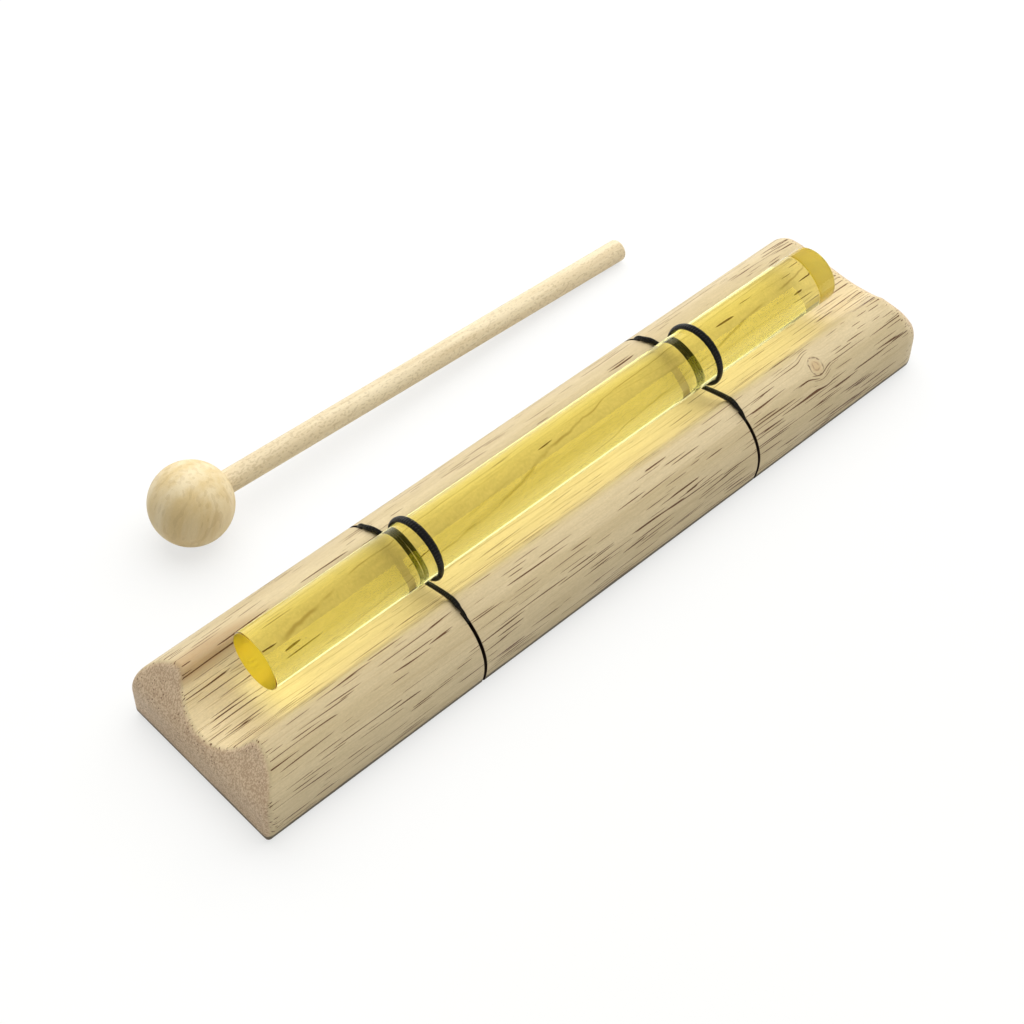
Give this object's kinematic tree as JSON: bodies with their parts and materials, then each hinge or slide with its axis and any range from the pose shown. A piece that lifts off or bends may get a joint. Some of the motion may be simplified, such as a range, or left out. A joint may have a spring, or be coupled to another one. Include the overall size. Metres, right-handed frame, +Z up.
{
  "type": "energy chime",
  "caption": "Energy chime: a clear yellow tone bar hung in black cord loops over a channelled wooden block, with a wooden ball mallet lying beside it.",
  "frame": {"origin": "centre of the block's flat underside", "axes": "+X along the block and the bar, towards the end that is farther in the picture; +Y across the block, towards the mallet; +Z up"},
  "size_m": [0.218, 0.0931, 0.0353],
  "materials": {
    "block_wood": "pale open-pored hardwood, sanded, thin clear satin finish",
    "tone_glass": "clear yellow, polished",
    "cord": "black braided cord with a slight sheen",
    "mallet_wood": "pale close-grained wood, sanded, unpainted"
  },
  "bodies": {
    "base": {"base_block": "block_wood"},
    "suspension": {"near_cord": "cord", "far_cord": "cord"},
    "bar": {"tone_bar": "tone_glass"},
    "mallet": {"mallet_head": "mallet_wood", "mallet_handle": "mallet_wood"}
  },
  "joints": [
    {"name": "bar_bounce", "type": "slide", "parent": "base", "child": "suspension", "axis": [0, 0, 1], "range_m": [-0.0025, 0.0025], "stiffness_N_per_m": 800, "springref_m": 0.00099, "deforming": ["near_cord", "far_cord"]},
    {"name": "bar_turn", "type": "hinge", "parent": "suspension", "child": "bar", "pos_m": [0, 0, 0.0259], "axis": [1, 0, 0], "continuous": true},
    {"name": "mallet_lift", "type": "slide", "parent": "base", "child": "mallet", "axis": [0, 0, 1], "range_m": [0, 0.08]}
  ]
}
